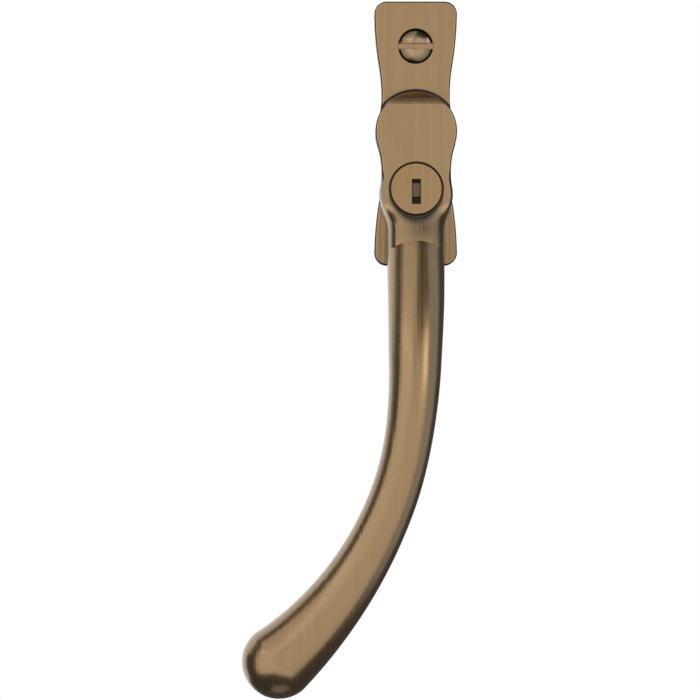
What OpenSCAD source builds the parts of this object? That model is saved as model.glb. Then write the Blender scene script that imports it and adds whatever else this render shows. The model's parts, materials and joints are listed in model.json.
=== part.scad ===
// Key-locking window handle: a waisted backplate, a curved pear-drop lever turning in it on a nylon bush,
// a square drive spindle, a ball detent, a 90 degree stop, and a key barrel that drives a locking bolt.
// Frame: +Z up, +X to the right, +Y into the window sash. The origin is on the pivot axis, in the plane of
// the backplate's rear face. A "height" is a distance in front of that plane, along -Y.

/* [Backplate] */
// Overall length of the backplate
plate_length = 65; // [62:0.5:70]
// Width across each rounded end
plate_end_width = 20.4; // [19.5:0.1:22]
// Width at the waists above and below the head
plate_waist_width = 16.8; // [16.2:0.1:18]
// Height of the raised ends
plate_height = 7.5; // [7.3:0.1:8]
// Distance between the two fixing screws
screw_spacing = 43; // [42:0.5:45]

/* [Lever] */
// Diameter of the round head
head_diameter = 20; // [19.6:0.1:20.4]
// Height of the flat front of the head
lever_front = 17.5; // [17.5:0.1:19]
// Distance from the pivot axis down to the lock axis
lock_drop = 14.1; // [13.9:0.1:14.3]
// Radius of the grip where it leaves the neck
grip_top_radius = 7.05; // [6.8:0.05:7.3]
// Radius of the grip at its slimmest
grip_slim_radius = 5.8; // [5.3:0.1:6.6]
// Radius of the ball at the end of the grip
ball_radius = 9; // [8:0.1:9.6]
// Radius of the grip's sideways bend
bend_radius = 94; // [85:0.5:110]
// Angle through which the grip bends
bend_angle = 49.8; // [35:0.2:58]
// How far the grip rises away from the window between the neck and the ball
grip_rise = 18; // [14:0.5:22]

/* [Drive] */
// Width across the flats of the square spindle
spindle_width = 7; // [6.8:0.1:7]
// Length of spindle standing behind the backplate
spindle_reach = 32; // [20:1:50]
// Length of each fixing screw standing behind the backplate
screw_reach = 20; // [10:1:40]

/* [Hidden] */
$fn = 72;
eps = 0.01;

// Fits: a gap that turns or slides, and a gap that is only there to keep fixed faces apart.
running = 0.05;
seat = 0.02;

// Backplate: heights of its recess floor and of the counterbore in its rear.
recess_floor = 4.2;
rear_pocket = 2.2;
head_radius = head_diameter / 2;
recess_radius = head_radius + 0.6;
centre_radius = head_radius - 0.2;
corner_radius = 3.1;
waist_z = 9.06;
widest_z = 30.7;
side_hollow_radius = 47;

// Boss and bush around the pivot axis.
boss_radius = 6;
boss_end = 0.3;
bush_radius = 6.7;
bush_flange_radius = 7.2;
bush_flange = 0.35;
rear_pocket_radius = 8.2;
head_back = recess_floor + bush_flange + running;
groove_radius = 5.45;
groove_heights = [0.62, 1.24];

// Lever: the neck clears the raised ends of the backplate.
neck_back = 8.4;
edge_round = 0.6;
slope_start_z = 7.4;
slope_drop = 4.5;
hollow_z = -9.75;
hollow_half_width = 8.5;
hollow_radius = 20;
bulge_z = -15.4;
bulge_half_width = 9.05;
neck_top_z = -10.75;
neck_overlap = 0.6;
neck_step = 0.04;
neck_crown = 0.06;
neck_round_z = -17;
neck_end_z = -24;
neck_edge_drop = 1.75;
neck_edge_inset = 1.85;
crease_z = -26.7;
crease_share = 0.05;
straight_end_z = -56.8;
grip_slim_share = 0.48;
grip_swell = 2.1;
grip_taper = 1.2;
grip_lean = 0.45;
lean_shares = [0.1, 0.574];
grip_level_share = 0.55;

// Detent: balls pressed into dimples at every quarter turn.
detent_track = 8.4;
ball_r = 1;
ball_pocket_end = 9.65;
dimple_depth = 0.32;
stop_angle = 45;
stop_radius = 0.9;
stop_x = detent_track * cos(stop_angle);
stop_z = detent_track * sin(stop_angle);

// Fixing screws: M5 raised countersunk heads.
screw_z = screw_spacing / 2;
// The thread stands behind the plate and the plain neck fills it.
shank_radius = 2.5;
screw_neck_radius = 2.25;
thread_end = 0.4;
screw_head_radius = 4.2;
screw_head_top = 6.7;
screw_cone_start = screw_head_top - screw_head_radius + screw_neck_radius;
screw_clearance = 0.25;
screw_dome = 1.1;
screw_slot = [1.5, 1.3];

// Lock: a barrel with two helical slots lifts a square bolt by a cross pin.
lock_z = -lock_drop;
barrel_face = lever_front + 1.4;
barrel_disc_radius = 6.2;
barrel_seat = lever_front - 3.1;
barrel_radius = 5.4;
barrel_bore = 2.6;
cover_thickness = 1;
barrel_back = neck_back + cover_thickness + running;
bolt_width = 3.5;
bolt_travel = 2.8;
bolt_back = neck_back + 0.2;
drive_pin_radius = 0.6;
drive_pin_height = barrel_seat - 0.8;
bolt_front = drive_pin_height + 1.1;
keyway = [2.2, 6.1];
keyway_drop = 0.65;
keyway_bottom = barrel_face - 3.2;
cover_screw = [4.6, lock_z - 6.9];
cover_screw_radius = 0.8;

// ---- shared shapes ----

// Children are a flat outline in X and Z, raised between two heights.
module raised(from, to) {
    translate([0, -from, 0]) rotate([90, 0, 0]) linear_extrude(to - from) children();
}

// A round bar or bore along the depth of the handle.
module bar(x, z, r, from, to, r2 = -1) {
    translate([x, -from, z]) rotate([90, 0, 0]) cylinder(r1 = r, r2 = r2 < 0 ? r : r2, h = to - from);
}

module ring(outer, inner, from, to) {
    raised(from, to) difference() {
        circle(outer);
        circle(inner);
    }
}

function arc(centre, r, start, end, steps) = [
    for (i = [0:steps]) let (a = start + (end - start) * i / steps)
        [centre[0] + r * cos(a), centre[1] + r * sin(a)]
];
function clamp01(t) = min(1, max(0, t));
function ease(t) = let (c = clamp01(t)) c * c * (3 - 2 * c);
function mix(a, b, t) = a + (b - a) * t;

// A closed skin through rings of equal length, with a flat cap at each end.
module skin(rings) {
    n = len(rings[0]);
    last = len(rings) - 1;
    points = [for (r = rings) each r];
    sides = [
        for (i = [0:last - 1], j = [0:n - 1]) let (k = (j + 1) % n)
            each [[i * n + j, (i + 1) * n + j, i * n + k], [(i + 1) * n + j, (i + 1) * n + k, i * n + k]]
    ];
    polyhedron(points, concat(sides, [[for (j = [0:n - 1]) j]], [[for (j = [n - 1:-1:0]) last * n + j]]));
}

// ---- backplate ----

plate_end = plate_length / 2;
end_half = plate_end_width / 2;
waist_half = plate_waist_width / 2;
// The bulging side arc is tangent to the hollow side arc at the waist.
hollow_x = waist_half + side_hollow_radius;
bulge_run = hollow_x - end_half;
bulge_radius = (pow(bulge_run, 2) + pow(widest_z - waist_z, 2) - pow(side_hollow_radius, 2))
    / (2 * (side_hollow_radius - bulge_run));
side_bulge = [end_half - bulge_radius, widest_z];
side_hollow = [hollow_x, waist_z];
side_join = atan2(waist_z - widest_z, hollow_x - side_bulge[0]);
corner_z = plate_end - corner_radius;
corner_x = side_bulge[0] + sqrt(pow(bulge_radius - corner_radius, 2) - pow(corner_z - widest_z, 2));
corner_join = atan2(corner_z - widest_z, corner_x - side_bulge[0]);
// The fillet between the waist and the round centre.
fillet_radius = (pow(waist_z, 2) - pow(centre_radius, 2) + pow(waist_half, 2))
    / (2 * (centre_radius - waist_half));
fillet = [waist_half + fillet_radius, waist_z];
fillet_join = atan2(fillet[1], fillet[0]);

plate_quarter = concat(
    arc([corner_x, corner_z], corner_radius, 90, corner_join, 10),
    arc(side_bulge, bulge_radius, corner_join, side_join, 8),
    arc(side_hollow, side_hollow_radius, side_join + 180, 180, 8),
    arc(fillet, fillet_radius, 180, fillet_join + 180, 6),
    arc([0, 0], centre_radius, fillet_join, 0, 6)
);
function reversed(list) = [for (i = [len(list) - 1:-1:0]) list[i]];
plate_half = concat(plate_quarter, [for (p = reversed(plate_quarter)) [p[0], -p[1]]]);

module plate_outline() {
    polygon(concat(plate_half, [for (p = reversed(plate_half)) [-p[0], p[1]]]));
}

module backplate() {
    color("#9c8260") difference() {
        raised(0, plate_height) plate_outline();
        bar(0, 0, recess_radius, recess_floor, plate_height + 1);
        bar(0, 0, bush_radius + seat, -1, recess_floor + 1);
        bar(0, 0, rear_pocket_radius, -1, rear_pocket);
        for (z = [-screw_z, screw_z]) {
            bar(0, z, shank_radius + screw_clearance, -1, plate_height);
            bar(0, z, screw_neck_radius + seat, screw_cone_start, screw_head_top, screw_head_radius + seat);
            bar(0, z, screw_head_radius + 0.15, screw_head_top, plate_height + 1);
        }
        for (a = [0:90:270])
            translate([detent_track * cos(a), dimple_depth - recess_floor - ball_r, detent_track * sin(a)])
                sphere(ball_r + running);
        bar(stop_x, stop_z, stop_radius, -1, recess_floor + 1);
        raised(bolt_back - bolt_travel - 0.3, plate_height + 1)
            translate([0, lock_z]) square(bolt_width + 0.6, center = true);
    }
}

module pivot_bush() {
    color("#e8e4d8") {
        ring(bush_radius, boss_radius + running, rear_pocket, recess_floor);
        ring(bush_flange_radius, boss_radius + running, recess_floor, recess_floor + bush_flange);
    }
}

module stop_pin() {
    color("#b8bcc0") bar(stop_x, stop_z, stop_radius - seat / 2, rear_pocket, recess_floor + 2);
}

module fixing_screw(z) {
    dome_radius = (pow(screw_head_radius, 2) + pow(screw_dome, 2)) / (2 * screw_dome);
    color("#8a7352") difference() {
        union() {
            bar(0, z, shank_radius, -screw_reach, -thread_end);
            bar(0, z, screw_neck_radius, -thread_end - eps, screw_head_top - 1);
            bar(0, z, screw_neck_radius, screw_cone_start, screw_head_top, screw_head_radius);
            intersection() {
                bar(0, z, screw_head_radius, screw_head_top, screw_head_top + screw_dome + 1);
                translate([0, dome_radius - screw_head_top - screw_dome, z]) sphere(dome_radius);
            }
        }
        translate([-screw_head_radius - 1, -screw_head_top - screw_dome - 1, z - screw_slot[0] / 2])
            cube([2 * screw_head_radius + 2, screw_slot[1] + 1, screw_slot[0]]);
    }
}

// ---- lever ----

// Half width of the head and neck at a level, seen from the front.
hollow_centre_x = hollow_half_width + hollow_radius;
hollow_end_z = hollow_z - 3.85;
head_join_z = hollow_z * head_radius / (head_radius + hollow_radius);
function hollow_half(z) = hollow_centre_x - sqrt(pow(hollow_radius, 2) - pow(z - hollow_z, 2));
function neck_half(z) =
    z > head_join_z ? sqrt(max(0, pow(head_radius, 2) - z * z)) :
    z > hollow_end_z ? hollow_half(z) :
    z > bulge_z ? mix(bulge_half_width, hollow_half(hollow_end_z),
        pow((z - bulge_z) / (hollow_end_z - bulge_z), 2)) :
    mix(bulge_half_width, grip_top_radius, ease((z - bulge_z) / (neck_end_z - bulge_z)));

// Centreline of the grip: straight down, then a sideways bend. The share t runs from the crease, 0, to the
// ball, 1, and is negative up in the neck.
straight_length = crease_z - straight_end_z;
bend_length = bend_radius * bend_angle * PI / 180;
grip_length = straight_length + bend_length;
function share_at(z) = (crease_z - z) / grip_length;
function bend_at(t) = max(0, (t * grip_length - straight_length) / bend_length * bend_angle);
function along(t) = min(t * grip_length, straight_length) + bend_radius * sin(bend_at(t));
function level_z(t) = crease_z - along(t);

// The grip leaves the neck steeply and is level again by grip_level_share. Its sections are stretched in
// depth where it slopes, so that the bar stays round.
function grip_slope(t) =
    2 * grip_rise / (grip_level_share * grip_length) * max(0, 1 - t / grip_level_share);
function grip_stretch(t) = sqrt(1 + pow(grip_slope(t), 2));
grip_start_h = lever_front - grip_top_radius * grip_stretch(0);
function grip_height(t) = grip_start_h + grip_rise * (1 - pow(max(0, 1 - t / grip_level_share), 2));
function grip_radius(t) = t < grip_slim_share ?
    mix(grip_top_radius, grip_slim_radius, ease(pow(max(0, t) / grip_slim_share, grip_taper))) :
    mix(grip_slim_radius, ball_radius, pow((t - grip_slim_share) / (1 - grip_slim_share), grip_swell));

// The neck turns from a flat slab into a crowned bar: its edges drop and its sides bulge.
function neck_blend(z) = ease((z - neck_round_z) / (neck_end_z - neck_round_z));
// The neck starts a hair smaller than the head that it grows out of.
function edge_drop(z) = mix(neck_crown, neck_edge_drop, neck_blend(z));
function wide_height(z) = mix(neck_back + 6, neck_back + 2.2, neck_blend(z));
neck_front = lever_front - neck_step;
function section_half(t) = t < 0 ? neck_half(level_z(t)) - neck_step : grip_radius(t);
function edge_angle(t) = let (half = section_half(t), b = neck_blend(level_z(t)))
    asin((half - mix(edge_round, neck_edge_inset, b)) / half);
function neck_surface(q, t) =
    let (z = level_z(t), e = edge_angle(t), drop = edge_drop(z), wide = wide_height(z))
    q < e ? neck_front - drop * pow(sin(q) / sin(e), 2) :
    wide + (neck_front - drop - wide) * cos(q) / cos(e);
function grip_surface(q, t) = grip_height(t) + grip_radius(t) * grip_stretch(t) * cos(q);
function front_height(q, t) =
    t < crease_share ? max(neck_surface(q, t), grip_surface(q, t)) : grip_surface(q, t);

// The back is flat over the backplate and round further down.
function back_round(t) = ease((t - 0.02) / 0.16);
function back_height(q, t) = let (
    side = front_height(90, t),
    lowest = mix(neck_back + neck_step, grip_height(t) - grip_radius(t) * grip_stretch(t), back_round(t))
) side - (side - lowest) * pow(abs(cos(q)), mix(0.08, 1, back_round(t)));

// A section at share t, as half width and height, round from the front. shrink draws it in to its middle.
function section(t, shrink = 1) = let (
    e = edge_angle(t),
    angles = concat([for (i = [1:5]) e * i / 5], [for (i = [1:5]) mix(e, 90, i / 5)],
        [for (i = [1:8]) 90 + 90 * i / 8]),
    middle = front_height(90, t),
    right = [for (q = angles)
        [section_half(t) * sin(q), q > 90 ? back_height(q, t) : front_height(q, t)]],
    last = len(right) - 2,
    ring = concat([[0, front_height(0, t)]], [for (i = [0:len(right) - 2]) [-right[i][0], right[i][1]]],
        [[0, right[last + 1][1]]], [for (i = [last:-1:0]) right[i]])
) [for (p = ring) [p[0] * shrink, middle + (p[1] - middle) * shrink]];

// The grip leans a little to the side before and through the start of its bend.
function lean_at(t) = let (u = clamp01((t - lean_shares[0]) / (lean_shares[1] - lean_shares[0])))
    grip_lean * pow(sin(180 * u), 2);

// The section in place, moved forward along the centreline to close the ball.
function placed(t, shrink = 1, forward = 0) = let (
    a = bend_at(t),
    cx = bend_radius * (cos(a) - 1) - lean_at(t) - forward * sin(a),
    cz = level_z(t) - forward * cos(a)
) [for (p = section(t, shrink)) [cx + p[0] * cos(a), -p[1], cz - p[0] * sin(a)]];

module neck_and_grip() {
    top = share_at(neck_top_z + neck_overlap);
    neck_steps = 16;
    crease_steps = 8;
    grip_steps = 38;
    cap_steps = 8;
    skin(concat(
        [for (i = [0:neck_steps - 1]) placed(mix(top, 0, i / neck_steps))],
        [for (i = [0:crease_steps - 1]) placed(crease_share * i / crease_steps)],
        [for (i = [0:grip_steps]) placed(mix(crease_share, 1, i / grip_steps))],
        [for (i = [1:cap_steps - 1]) let (a = 90 * i / cap_steps) placed(1, cos(a), ball_radius * sin(a))],
        [placed(1, 0.04, ball_radius)]
    ));
}

module head_outline() {
    join_angle = atan2(head_join_z, neck_half(head_join_z));
    side = concat(arc([0, 0], head_radius, 90, join_angle, 18),
        [for (i = [1:12]) let (z = mix(head_join_z, neck_top_z, i / 12)) [neck_half(z), z]]);
    polygon(concat(side, [for (i = [len(side) - 1:-1:1]) [-side[i][0], side[i][1]]]));
}

module head() {
    difference() {
        union() {
            bar(0, 0, head_radius - neck_step, head_back, neck_back + 1);
            raised(neck_back, lever_front) head_outline();
            bar(0, 0, boss_radius, boss_end, head_back + 1);
        }
        // The front slopes away above its straight top edge.
        rotate([90, 0, 90]) translate([0, 0, -head_radius - 1]) linear_extrude(2 * head_radius + 2)
            polygon([[-lever_front - 1, slope_start_z], [-lever_front, slope_start_z],
                [slope_drop - lever_front, head_radius], [slope_drop - lever_front, head_radius + 1],
                [-lever_front - 1, head_radius + 1]]);
    }
}

module cover_outline(gap = 0) {
    intersection() {
        translate([0, lock_z - 2.6]) square([13.6 + 2 * gap, 13.2 + 2 * gap], center = true);
        translate([0, lock_z + 1]) circle(11.4 + gap);
    }
}

module lever() {
    color("#9c8260") difference() {
        union() {
            head();
            neck_and_grip();
        }
        // Socket for the spindle, and the cross hole for its pin.
        raised(boss_end - 1, 10) square(spindle_width + 2 * seat, center = true);
        translate([-head_radius, -spindle_pin_height, 0]) rotate([0, 90, 0])
            cylinder(r = spindle_pin_radius, h = 2 * head_radius);
        ring(boss_radius + 1, groove_radius, groove_heights[0], groove_heights[1]);
        // Pockets for the detent balls, and the quarter-turn slot for the stop pin.
        for (x = [-detent_track, detent_track])
            bar(x, 0, ball_r + running, head_back - 1, ball_pocket_end);
        raised(head_back - 1, recess_floor + 2.3) stop_slot();
        // Seat, bore and cover recess of the lock.
        bar(0, lock_z, barrel_disc_radius + 0.4, barrel_seat, lever_front + 1);
        bar(0, lock_z, barrel_radius + running, neck_back - 1, barrel_seat + 1);
        raised(neck_back - 1, neck_back + cover_thickness + running) cover_outline(0.1);
        for (x = [-cover_screw[0], cover_screw[0]])
            bar(x, cover_screw[1], cover_screw_radius + seat, neck_back, neck_back + 4.2);
    }
}

module stop_slot() {
    spread = asin((stop_radius + 0.1) / detent_track);
    first = stop_angle - spread;
    last = stop_angle + 90 + spread;
    width = stop_radius + 0.15;
    polygon(concat(arc([0, 0], detent_track + width, first, last, 24),
        arc([0, 0], detent_track - width, last, first, 24)));
}

// ---- drive ----

spindle_pin_height = 3.2;
spindle_pin_radius = 0.75;

module drive_spindle() {
    color("#a9adb2") difference() {
        raised(-spindle_reach, 9.8) intersection() {
            square(spindle_width, center = true);
            circle(spindle_width * 0.67);
        }
        translate([-head_radius, -spindle_pin_height, 0]) rotate([0, 90, 0])
            cylinder(r = spindle_pin_radius, h = 2 * head_radius);
    }
}

module spindle_pin() {
    half = boss_radius - 0.15;
    color("#c4c8cc") translate([-half, -spindle_pin_height, 0]) rotate([0, 90, 0]) difference() {
        cylinder(r = spindle_pin_radius - seat / 2, h = 2 * half);
        translate([0, 0, -1]) cylinder(r = 0.4, h = 2 * half + 2);
    }
}

thrust_washer_back = rear_pocket - 0.44;

module thrust_washer() {
    color("#c4c8cc")
        ring(rear_pocket_radius - 0.3, boss_radius + 0.1, thrust_washer_back, rear_pocket - seat);
}

// Three waves of spring steel between the circlip and the thrust washer.
module wave_washer() {
    inner = boss_radius + 0.15;
    outer = rear_pocket_radius - 0.6;
    sheet = 0.22;
    swing = 0.13;
    mid = (groove_heights[1] + thrust_washer_back - sheet) / 2 - seat;
    steps = 72;
    function corner(r, h, a) = [r * cos(a), -(mid + h + swing * sin(3 * a)), r * sin(a)];
    rings = [for (i = [0:steps - 1]) let (a = 360 * i / steps)
        [corner(inner, 0, a), corner(outer, 0, a), corner(outer, sheet, a), corner(inner, sheet, a)]];
    faces = [for (i = [0:steps - 1], j = [0:3]) let (m = (i + 1) % steps, k = (j + 1) % 4)
        each [[i * 4 + j, i * 4 + k, m * 4 + j], [m * 4 + j, i * 4 + k, m * 4 + k]]];
    color("#8f959b") polyhedron([for (r = rings) each r], faces);
}

module boss_circlip() {
    lug = [2.75, -6.3];
    lug_radius = 1;
    lug_hole = 0.45;
    color("#6f757b") raised(groove_heights[0] + 0.06, groove_heights[1] - 0.06) difference() {
        union() {
            difference() {
                circle(7.3);
                circle(groove_radius + seat);
                polygon([[0, 0], [5, -12], [-5, -12]]);
            }
            for (x = [-1, 1]) difference() {
                translate([x * lug[0], lug[1]]) circle(lug_radius);
                circle(groove_radius + seat);
            }
        }
        for (x = [-1, 1]) translate([x * lug[0], lug[1]]) circle(lug_hole);
    }
}

// ---- detent ----

ball_height = recess_floor + ball_r + seat;

module detent_ball(x) {
    color("#d0d3d6") translate([x, -ball_height, 0]) sphere(ball_r);
}

module detent_spring(x) {
    coil = 0.72;
    wire = 0.14;
    turns = 6;
    bottom = ball_height + ball_r + wire + seat;
    top = ball_pocket_end - wire - seat;
    steps = turns * 16;
    function ring_at(a, h) = [for (j = [0:5]) let (q = -60 * j, r = coil + wire * cos(q))
        [x + r * cos(a), -(h + wire * sin(q)), r * sin(a)]];
    color("#8f959b")
        skin([for (i = [0:steps]) ring_at(360 * turns * i / steps, mix(bottom, top, i / steps))]);
}

// ---- lock ----

module lock_barrel() {
    steps = 18;
    color("#a08562") difference() {
        union() {
            bar(0, lock_z, barrel_disc_radius, barrel_seat, barrel_face);
            bar(0, lock_z, barrel_radius, barrel_back, barrel_seat + 1);
        }
        bar(0, lock_z, barrel_bore, barrel_back - 1, bolt_front + 0.3);
        raised(keyway_bottom, barrel_face + 1)
            translate([0, lock_z - keyway_drop]) square(keyway, center = true);
        // The helical slots: the path of the cross pin past the turning barrel.
        for (i = [0:steps]) translate([0, bolt_travel * i / steps - drive_pin_height, lock_z])
            rotate([0, -90 * i / steps, 0]) translate([-barrel_radius - 0.4, 0, 0]) rotate([0, 90, 0])
                cylinder(r = drive_pin_radius + 0.12, h = 2 * barrel_radius + 0.8);
    }
}

module keyway_ward() {
    color("#7d6548") raised(barrel_face - 2.2, barrel_face - 0.9)
        translate([0, lock_z - 0.25]) square([keyway[0] - seat, 3.4], center = true);
}

module lock_bolt() {
    color("#c4c8cc") difference() {
        raised(bolt_back, bolt_front) translate([0, lock_z]) square(bolt_width, center = true);
        translate([-bolt_width, -drive_pin_height, lock_z]) rotate([0, 90, 0])
            cylinder(r = drive_pin_radius, h = 2 * bolt_width);
    }
}

module bolt_drive_pin() {
    half = barrel_radius - 0.4;
    color("#8f959b") translate([-half, -drive_pin_height, lock_z]) rotate([0, 90, 0])
        cylinder(r = drive_pin_radius - seat / 2, h = 2 * half);
}

module lock_cover() {
    color("#b8bcc0") difference() {
        raised(neck_back, neck_back + cover_thickness) cover_outline();
        raised(neck_back - 1, neck_back + 2)
            translate([0, lock_z]) square(bolt_width + 0.12, center = true);
        for (x = [-cover_screw[0], cover_screw[0]]) {
            bar(x, cover_screw[1], 1, neck_back - 1, neck_back + 2);
            bar(x, cover_screw[1], 1.85, neck_back, neck_back + 0.85, 1);
        }
    }
}

module lock_cover_screw(x) {
    color("#c4c8cc") difference() {
        union() {
            bar(x, cover_screw[1], 1.8, neck_back + 0.03, neck_back + 0.86, 0.97);
            bar(x, cover_screw[1], cover_screw_radius, neck_back + 0.5, neck_back + 4);
        }
        translate([x - 2, -neck_back - 0.45, cover_screw[1] - 0.2]) cube([4, 0.6, 0.4]);
    }
}

backplate();
pivot_bush();
stop_pin();
fixing_screw(screw_z);  // upper_fixing_screw
fixing_screw(-screw_z);  // lower_fixing_screw
lever();
drive_spindle();
spindle_pin();
thrust_washer();
wave_washer();
boss_circlip();
detent_spring(-detent_track);  // left_detent_spring
detent_spring(detent_track);  // right_detent_spring
detent_ball(-detent_track);  // left_detent_ball
detent_ball(detent_track);  // right_detent_ball
lock_barrel();
keyway_ward();
lock_bolt();
bolt_drive_pin();
lock_cover();
lock_cover_screw(-cover_screw[0]);  // left_cover_screw
lock_cover_screw(cover_screw[0]);  // right_cover_screw
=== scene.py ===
"""The looks of a key-locking window handle in brushed antique brass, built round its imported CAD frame.

The frame is the CAD's: +Z up, +X right, and the front towards -Y. A height is a distance along -Y from the
rear face of the backplate. Sizes are in millimetres, except in the materials and the studio, which work in
Blender's metres.
"""
import json
import math

import bmesh
import bpy
import numpy as np
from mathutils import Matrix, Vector


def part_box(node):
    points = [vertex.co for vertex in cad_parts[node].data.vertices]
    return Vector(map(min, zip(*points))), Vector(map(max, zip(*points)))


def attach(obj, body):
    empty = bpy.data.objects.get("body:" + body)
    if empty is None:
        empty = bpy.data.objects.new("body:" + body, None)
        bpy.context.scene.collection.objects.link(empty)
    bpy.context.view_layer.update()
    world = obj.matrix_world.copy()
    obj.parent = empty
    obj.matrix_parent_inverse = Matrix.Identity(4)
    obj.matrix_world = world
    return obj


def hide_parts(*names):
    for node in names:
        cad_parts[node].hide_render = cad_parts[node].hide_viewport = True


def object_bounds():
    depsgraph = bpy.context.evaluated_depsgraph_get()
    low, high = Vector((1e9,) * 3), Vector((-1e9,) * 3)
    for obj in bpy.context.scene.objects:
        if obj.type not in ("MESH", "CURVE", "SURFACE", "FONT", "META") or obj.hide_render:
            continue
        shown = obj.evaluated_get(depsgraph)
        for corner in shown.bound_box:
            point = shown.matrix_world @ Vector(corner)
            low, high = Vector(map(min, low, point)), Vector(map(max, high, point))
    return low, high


MM = 0.001

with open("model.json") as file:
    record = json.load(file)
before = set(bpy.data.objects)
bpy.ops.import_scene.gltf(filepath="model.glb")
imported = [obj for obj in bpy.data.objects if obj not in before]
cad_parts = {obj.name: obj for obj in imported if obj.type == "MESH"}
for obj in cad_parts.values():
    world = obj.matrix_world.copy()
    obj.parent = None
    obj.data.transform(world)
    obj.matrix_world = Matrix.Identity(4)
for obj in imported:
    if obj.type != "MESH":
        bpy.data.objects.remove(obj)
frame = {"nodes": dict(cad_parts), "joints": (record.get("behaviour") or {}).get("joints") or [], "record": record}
cad_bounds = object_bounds()
record = frame["record"]
joints = {j["name"]: j for j in frame["joints"]}

# ---- sizes: three are read off the frame, and the rest are the CAD's, but for a softer fillet and ridge ----


def corners_mm(node):
    low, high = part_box(node)
    return low / MM, high / MM


HEAD_RADIUS = corners_mm("lever")[1].z
PLATE_FRONT_Y = corners_mm("backplate")[0].y
LOCK_Z = joints["key_turn"]["pos_m"][2] / MM

LEVER_FRONT = 17.5
NECK_BACK = 8.4
HEAD_BACK = 4.6
HEAD_END_Z, HEAD_FADE = -9.0, 5.0
EDGE_FILLET = 0.6
BALL_RADIUS = 9.0
GRIP_TOP_RADIUS = 7.05
GRIP_SLIM_RADIUS = 5.8
GRIP_SLIM_SHARE = 0.48
GRIP_SWELL = 2.1
GRIP_TAPER = 1.2
GRIP_LEAN = 0.45
LEAN_SHARES = (0.1, 0.574)
GRIP_RISE = 18.0
GRIP_LEVEL_SHARE = 0.55
BEND_RADIUS = 94.0
BEND_ANGLE = math.radians(49.8)
CREASE_Z = -26.7
CREASE_SHARE = 0.05
STRAIGHT_END_Z = -56.8
SLOPE_START_Z = 7.4
SLOPE_DROP = 4.5
RIDGE_SOFTNESS = 1.1
HOLLOW_Z, HOLLOW_HALF, HOLLOW_RADIUS = -9.75, 8.5, 20.0
HOLLOW_END_Z = HOLLOW_Z - 3.85
BULGE_Z, BULGE_HALF = -15.4, 9.05
NECK_ROUND_Z, NECK_END_Z = -17.0, -24.0
NECK_EDGE_DROP, NECK_EDGE_INSET = 1.75, 1.85
LOCK_SEAT_RADIUS, LOCK_SEAT_HEIGHT, LOCK_BORE_RADIUS = 6.6, 14.4, 5.45
# The stop pin and the detent balls all run on a circle of this radius.
DETENT_TRACK, STOP_SLOT_END = 8.4, 6.5
KEY_HALF, KEY_TOP, KEY_BOTTOM, KEY_DEPTH = 1.1, 2.4, -3.7, 3.2
SCREW_Z, SCREW_RECESS_RADIUS, HEAD_RECESS_ROOM = 21.5, 4.35, 0.6
# The smooth surfaces stay this far inside the CAD box.
SHY = 0.04
# A turned outline starts this far from its axis, so that its end faces have no zero-length edges.
CORE = 0.02


def mix(a, b, t):
    return a + (b - a) * t


def ease(t):
    t = np.clip(t, 0, 1)
    return t * t * (3 - 2 * t)


# ---- meshes ----


def new_object(name, verts_mm, faces):
    """A closed mesh with its faces turned outward."""
    mesh = bpy.data.meshes.new(name)
    mesh.from_pydata([tuple(c * MM for c in v) for v in verts_mm], [], faces)
    mesh.validate()
    bm = bmesh.new()
    bm.from_mesh(mesh)
    bmesh.ops.recalc_face_normals(bm, faces=bm.faces)
    bm.to_mesh(mesh)
    bm.free()
    obj = bpy.data.objects.new(name, mesh)
    bpy.context.scene.collection.objects.link(obj)
    return obj


def loft(name, rings):
    """A closed skin through rings of equal length, given in order down the piece."""
    count = len(rings[0])
    verts = [p for ring in rings for p in ring]
    faces = []
    for i in range(len(rings) - 1):
        for j in range(count):
            k = (j + 1) % count
            faces.append((i * count + j, (i + 1) * count + j, (i + 1) * count + k, i * count + k))
    top = len(verts)
    verts.append(tuple(np.mean(rings[0], axis=0)))
    verts.append(tuple(np.mean(rings[-1], axis=0)))
    last = (len(rings) - 1) * count
    for j in range(count):
        k = (j + 1) % count
        faces.append((top, j, k))
        faces.append((top + 1, last + k, last + j))
    return new_object(name, verts, faces)


def lathe(name, profile, x=0.0, z=0.0, sides=128):
    """Turns a closed outline of (radius, height) points round a line along the depth of the handle."""
    rings = []
    for radius, height in profile:
        angles = [2 * math.pi * i / sides for i in range(sides)]
        rings.append([(x + radius * math.cos(a), -height, z + radius * math.sin(a)) for a in angles])
    return loft(name, rings)


def apply_modifiers(obj):
    graph = bpy.context.evaluated_depsgraph_get()
    mesh = bpy.data.meshes.new_from_object(obj.evaluated_get(graph))
    obj.modifiers.clear()
    old = obj.data
    obj.data = mesh
    bpy.data.meshes.remove(old)


def combine(obj, other, operation):
    """Joins or cuts with another closed mesh, which is then removed."""
    modifier = obj.modifiers.new("combine", "BOOLEAN")
    modifier.operation = operation
    modifier.solver = "EXACT"
    modifier.object = other
    apply_modifiers(obj)
    bpy.data.objects.remove(other)


def smooth(obj, degrees=32):
    """Shades smoothly between sharp edges. The larger faces decide the normals, so that flats stay flat."""
    for polygon in obj.data.polygons:
        polygon.use_smooth = True
    obj.data.set_sharp_from_angle(angle=math.radians(degrees))
    modifier = obj.modifiers.new("normals", "WEIGHTED_NORMAL")
    modifier.keep_sharp = True
    modifier.weight = 100
    apply_modifiers(obj)


# ---- the lever's form, the same rules that the CAD follows ----

STRAIGHT_LENGTH = CREASE_Z - STRAIGHT_END_Z
GRIP_LENGTH = STRAIGHT_LENGTH + BEND_RADIUS * BEND_ANGLE
HOLLOW_X = HOLLOW_HALF + HOLLOW_RADIUS
HEAD_JOIN_Z = HOLLOW_Z * HEAD_RADIUS / (HEAD_RADIUS + HOLLOW_RADIUS)


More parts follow.
